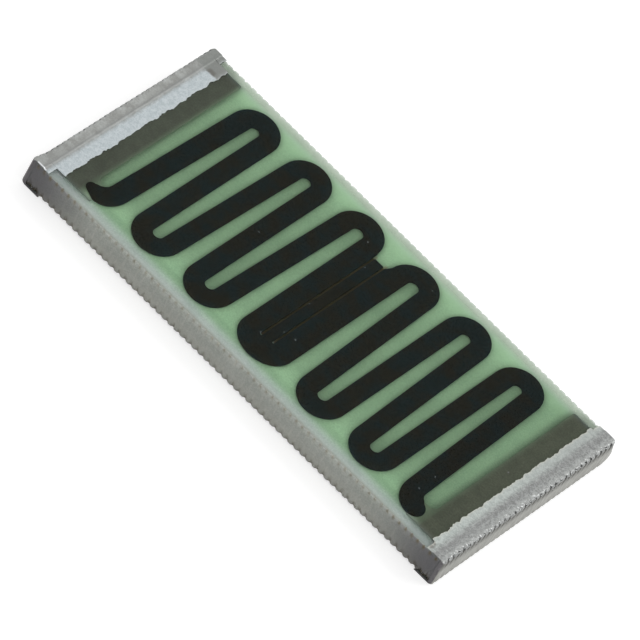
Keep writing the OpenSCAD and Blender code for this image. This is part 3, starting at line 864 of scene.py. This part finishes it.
# Columns of a wrap, in mm: from a half hole's middle, in the solder and in the layers under it, and in from
# the cut sides
CAP_COLUMNS = [0.0, 0.012, 0.022, 0.03, 0.0345, 0.042, 0.053, 0.064]
INNER_COLUMNS = [0.0, 0.02, 0.035, 0.045, 0.055]
CUT_COLUMNS = [0.0, 0.0015, 0.004, 0.008, 0.014]


def cap_mouth(v, inset):
    """Distance from the nearest half hole in an end, and its mouth's radius after plating."""
    k = round(v / END_PITCH)
    size = 0.85 + 0.3 * abs(noise.noise(Vector((k * 0.37, 2.2, 0.4))))
    open_here = abs(k) < END_PITCHES / 2
    return abs(v - k * END_PITCH), (PLATED_PIT_R * size + inset) if open_here else 0.0


def end_wave(side, v):
    """How far the wraps' end lies in at v."""
    wave = 1 + 0.7 * ripple(v, 0.5 * MM, side * 1.9, 7.5) + 0.5 * ripple(v, 0.14 * MM, side * 5.3, 9.5)
    return max(0.0, wave) * END_WAVE[side]


# Layers wrapped round each end, from the outside in: piece, node, slot, depth of skin and lining below the
# solder's surface, and whether it starts at the dipped electrode's own edge
Layer = namedtuple("Layer", "label node slot depth lining_depth own_edge")
SOLDER_LAYER = Layer("solder_coat", "solder_cap", "solder", 0.0, 0.9 * SOLDER_T, False)
NICKEL_LAYER = Layer("nickel_coat", "nickel_barrier", "nickel", SOLDER_T, SOLDER_T + 5.5 * UM, False)
DIP_LAYER = Layer("dipped_silver_wrap", "end_electrode", "dipped_silver", SOLDER_T + 6 * UM,
                  SOLDER_T + 18 * UM, True)


def cap_section(side, v, layer, inset):
    """Points (out along X, z) of a wrap at v, inset from the outermost skin, and pits' shares."""
    beyond = max(0.0, abs(v) - (PLATE_W / 2 - CORNER_R))
    corner_r = CORNER_R + CAP_END - PLATE_L / 2 - inset
    end = PLATE_L / 2 - CORNER_R + math.sqrt(corner_r ** 2 - beyond ** 2) - end_wave(side, v)
    top, bottom = CAP_TOP - inset, inset
    away, mouth = cap_mouth(v, inset)

    def limit(share):
        r = mouth * (1 - (1 - PIT_TIP_SHARE) * share)
        if share >= 1 or away >= r:
            return end
        return end - math.sqrt(r * r - away * away)

    top_r, bottom_r = SOLDER_TOP_R - inset, SOLDER_BOTTOM_R - inset
    step_at = DIP_EDGE - 0.04 * MM - 0.3 * edge_wave(side, v + 1.3 * MM)
    start = step_at if layer.own_edge else inner_edge(side, v) + 0.5 * layer.depth
    stop = min(end - top_r, limit(0))
    points = []
    for share in TOP_SHARES:
        u = start + share * (stop - start)
        low = DIP_T * (1 - smooth_step(step_at - 0.02 * MM, step_at + 0.015 * MM, u))
        points.append((u, top - (0.0 if layer.own_edge else low), 0.0))
    deep = END_PIT_DEPTH + 0.012 * MM
    # A halo round each mouth, and the holes down the end face, take part of the pits' painted shade
    halo = min(max(0.0, 1 - (away - mouth) / (0.012 * MM)), 1.0) if mouth else 0.0
    for turn in TURNS:
        u, z = end - top_r + top_r * math.sin(turn), top - top_r + top_r * math.cos(turn)
        cut = limit((top - z) / deep)
        points.append((min(u, cut), z, 1.0 if cut < u else 0.6 * halo))
    for z in np.linspace(top - top_r, bottom_r + bottom, FACE_ROWS)[1:-1]:
        cut = min(limit((top - z) / deep), limit((z - bottom) / BOTTOM_PIT_DEPTH))
        points.append((min(end, cut), z, 0.7 if cut < end and z > bottom + 0.3 * MM else 0.0))
    for turn in TURNS:
        u, z = end - bottom_r + bottom_r * math.cos(turn), bottom + bottom_r - bottom_r * math.sin(turn)
        points.append((min(u, limit((z - bottom) / BOTTOM_PIT_DEPTH)), z, 0.0))
    last = points[-1][0]
    for share in LAND_SHARES:
        points.append((last + share * (PLATING_END + layer.depth - last), bottom, 0.0))
    return points


def wrap_places(cap_columns):
    """Places across a wrap: close in the half holes, at its cut sides and at the print's two edges."""
    half_w, half_count = PLATE_W / 2, END_PITCHES // 2
    vs = {k * END_PITCH + sign * c * MM for k in range(-half_count, half_count + 1)
          for c in cap_columns for sign in (-1, 1)}
    vs |= {k * END_PITCH + END_PITCH / 2 for k in range(-half_count, half_count)}
    vs |= {sign * (half_w - c * MM) for c in CUT_COLUMNS for sign in (-1, 1)}
    vs |= {edge + c * UM for edge in (PRINT_NEAR, PRINT_FAR) for c in (-2, 2)}
    return sorted(v for v in vs if abs(v) <= half_w)


def wrap_piece(side, layer, cap_columns, material):
    """One layer round an end: a closed shell with a skin, a lining and a rim between them."""
    half_w, vs = PLATE_W / 2, wrap_places(cap_columns)
    # The inner layers end a little inside the outer one's edge, and each cut edge is rounded
    inside, edge_r = 0.25 * layer.depth, 0.75 * (layer.lining_depth - layer.depth)
    outer, inner, pits, rims, flanks = [], [], [], [], []
    for v in vs:
        left = max(0.0, edge_r - (half_w - abs(v)))
        rounded = edge_r - math.sqrt(edge_r ** 2 - left ** 2)
        skin = cap_section(side, v, layer, layer.depth + rounded * 0.9)
        lining = cap_section(side, v, layer, layer.lining_depth)
        start = skin[0][0]
        at = v * (1 - inside / half_w)
        for places, section in ((outer, skin), (inner, lining)):
            places.append([(tucked(side * u, at), leaning(at, z), z) for u, z, _ in section])
        pits.append([pit for _, _, pit in skin])
        rims.append([math.exp(-(u - start) / (0.018 * MM)) if i < len(TOP_SHARES) else 0.0
                     for i, (u, _, _) in enumerate(skin)])
        # The near cut side is marked for painted shade
        flanks.append([1.0 if v < 0.02 * MM - half_w else 0.0] * len(skin))
    nx, ny = len(outer[0]), len(vs)
    outer, inner = [np.array(places).transpose(1, 0, 2).reshape(-1, 3) for places in (outer, inner)]
    pits, rims, flanks = [np.array(values).T.ravel() for values in (pits, rims, flanks)]
    rough = 0.09 * (1 + grain(outer, 0.03 * MM, 5 + side))
    outer += (inner - outer) * np.clip(rough, 0, 0.2)[:, None]
    under = nx * ny
    faces = grid_faces(nx, ny)
    faces += [[under + a for a in face[::-1]] for face in faces]
    rim = rim_of(nx, ny)
    faces += [(b, a, under + a, under + b) for a, b in zip(rim, rim[1:] + rim[:1])]
    if side == LEFT:
        faces = [face[::-1] for face in faces]
    name = SIDE_NAME[side] + "_"
    piece = make_piece(name + layer.label, np.concatenate([outer, inner]), faces, material,
                       name + layer.node)
    mark_points(piece, "pit", np.append(pits, pits * 0))
    mark_points(piece, "rim", np.append(rims, rims * 0))
    mark_points(piece, "flank", np.append(flanks, flanks))
    shade_smooth(piece, 50)


# Printed electrodes

# How far a print's edge draws in: at the plate, halfway through the print and at its free face
PRINT_PULL = (0, 10 * UM, 30 * UM)


def bend_points(cx, cy, r, start, stop, steps):
    """Points round a bend, from one angle to another in degrees."""
    turns = np.radians(np.linspace(start, stop, steps + 1))
    return [(cx + r * math.cos(t), cy + r * math.sin(t)) for t in turns]


def top_print_outline(side):
    """The top electrode's plan, as (out along X, v) points in order."""
    edge, gap_r, gap_v, r = PRINT_EDGE[side], 0.15 * MM, -1.65 * MM, 0.05 * MM
    end, half_w = PLATE_L / 2 - PRINT_OFF_END, PLATE_W / 2 - PRINT_OFF_SIDE
    outline = [(end, -half_w), (end, half_w), (SHOULDER, half_w), (SHOULDER, PRINT_FAR)]
    outline += bend_points(edge + r, PRINT_FAR - r, r, 90, 180, 5)
    outline += bend_points(edge - gap_r, gap_v, gap_r, 0, -90, 8)
    return outline + [(FOOT_X[side], gap_v - gap_r), (FOOT_X[side], PRINT_NEAR), (SHOULDER, PRINT_NEAR),
                      (SHOULDER, -half_w)]


def bottom_print_outline():
    end, half_w, r = PLATE_L / 2 - PRINT_OFF_END, PLATE_W / 2 - PRINT_OFF_SIDE, 0.05 * MM
    outline = [(end, -half_w), (end, half_w)] + bend_points(SHOULDER + r, half_w - r, r, 90, 180, 5)
    return outline + bend_points(SHOULDER + r, r - half_w, r, 180, 270, 5)


def print_ring(side, points, z, pull):
    """A print's outline at one height, drawn in and a little uneven."""
    ring = []
    for i, (u, v) in enumerate(points):
        (au, av), (bu, bv) = points[i - 1], points[(i + 1) % len(points)]
        way = Vector((bu - au, bv - av)).normalized()
        rough = 3 * UM * (1 + noise.noise(Vector((u, v, side * 0.004)) / (0.06 * MM)))
        u, v = u - way.y * (pull + rough), v + way.x * (pull + rough)
        ring.append((tucked(side * u, v), leaning(v, z), z))
    return ring


def print_piece(side, face, outline, low_z, high_z):
    """A printed layer, whose edge thins out on the side away from the plate."""
    points = []
    for a, b in zip(outline, outline[1:] + outline[:1]):
        steps = max(1, int(math.dist(a, b) / (0.05 * MM)))
        points += [(a[0] + (b[0] - a[0]) * i / steps, a[1] + (b[1] - a[1]) * i / steps)
                   for i in range(steps)]
    pulls = PRINT_PULL if face == "top" else PRINT_PULL[::-1]
    rings = []
    for z, pull in zip((low_z, (low_z + high_z) / 2, high_z), pulls):
        rings += print_ring(side, points, z, pull)
    count = len(points)
    faces = []
    for first in (0, count):
        for i in range(count):
            m = (i + 1) % count
            faces.append((first + i, first + m, first + count + m, first + count + i))
    faces += [range(count)[::-1], range(2 * count, 3 * count)]
    if side == LEFT:
        faces = [corners[::-1] for corners in faces]
    name = SIDE_NAME[side] + "_" + face
    piece = make_piece(name + "_print", rings, faces, PRINTED_SILVER[side],
                       name + "_electrode")
    shade_smooth(piece, 40)


plate_piece()
glass_piece()
for wrap_side in (LEFT, RIGHT):
    wrap_piece(wrap_side, SOLDER_LAYER, CAP_COLUMNS, solder(wrap_side))
    wrap_piece(wrap_side, NICKEL_LAYER, INNER_COLUMNS, NICKEL)
    wrap_piece(wrap_side, DIP_LAYER, INNER_COLUMNS, DIPPED_SILVER)
    print_piece(wrap_side, "top", top_print_outline(wrap_side), TOP_Z, TOP_Z + PRINT_T)
    print_piece(wrap_side, "bottom", bottom_print_outline(), PLATE_Z - PRINT_T, PLATE_Z)


# Floor, light and camera

# The world's strength as light and as it is seen, and the floor's grey, which glows where it is seen
WORLD_LIGHT, WORLD_SEEN = 0.7, 1.0
FLOOR_GREY, FLOOR_SIZE = 0.62, 1.0
LAMP_PLACE, LAMP_SIZE, LAMP_POWER = (0.10, 0.12, 0.16), 0.12, 0.10
# The camera: its place, its angles in degrees, and its lens and sensor in mm
CAMERA_PLACE = Vector((38.5, -128.66, 130.1)) * MM
AZIMUTH, ELEVATION, ROLL = 16.631, 44.065, 32.807
LENS, SENSOR = 598.8, 36


def stage_light():
    world = bpy.data.worlds.new("studio")
    bpy.context.scene.world = world
    world.use_nodes = True
    nodes = Nodes(world.node_tree)
    back = world.node_tree.nodes["Background"]
    nodes.put(back.inputs["Color"], (1, 1, 1, 1))
    nodes.put(back.inputs["Strength"], nodes.ramp(nodes.seen(), 0, 1, WORLD_LIGHT, WORLD_SEEN))


def stage_floor():
    paint = Paint("pale_floor")
    paint.set(Base_Color=(FLOOR_GREY, FLOOR_GREY, FLOOR_GREY, 1), Roughness=0.9, Specular_IOR_Level=0.0,
              Emission_Color=(1, 1, 1, 1), Emission_Strength=paint.times(paint.seen(), FLOOR_GREY))
    half = FLOOR_SIZE / 2
    corners = [(-half, -half, 0), (half, -half, 0), (half, half, 0), (-half, half, 0)]
    mesh = bpy.data.meshes.new("floor")
    mesh.from_pydata(corners, [], [(0, 1, 2, 3)])
    mesh.materials.append(paint.material)
    floor = add_object("floor", mesh)
    floor.location.z = -0.5 * UM


def stage_lamp():
    data = bpy.data.lights.new("back_right_softbox", "AREA")
    data.shape = "DISK"
    data.size = LAMP_SIZE
    data.energy = LAMP_POWER
    lamp = add_object("back_right_softbox", data)
    lamp.location = LAMP_PLACE
    lamp.rotation_mode = "QUATERNION"
    lamp.rotation_quaternion = Vector(LAMP_PLACE).to_track_quat("Z", "Y")


def stage_camera():
    turn = Euler((math.radians(90 - ELEVATION), 0, math.radians(AZIMUTH))).to_matrix()
    turn = turn @ Matrix.Rotation(math.radians(ROLL), 3, "Z")
    camera = add_object("camera", bpy.data.cameras.new("camera"))
    camera.matrix_world = Matrix.Translation(CAMERA_PLACE) @ turn.to_4x4()
    camera.data.lens = LENS
    camera.data.sensor_width = SENSOR
    camera.data.clip_start = 10 * MM
    camera.data.clip_end = 5
    bpy.context.scene.camera = camera


stage_floor()
stage_light()
stage_lamp()
stage_camera()

bpy.context.scene.view_settings.view_transform = "Standard"
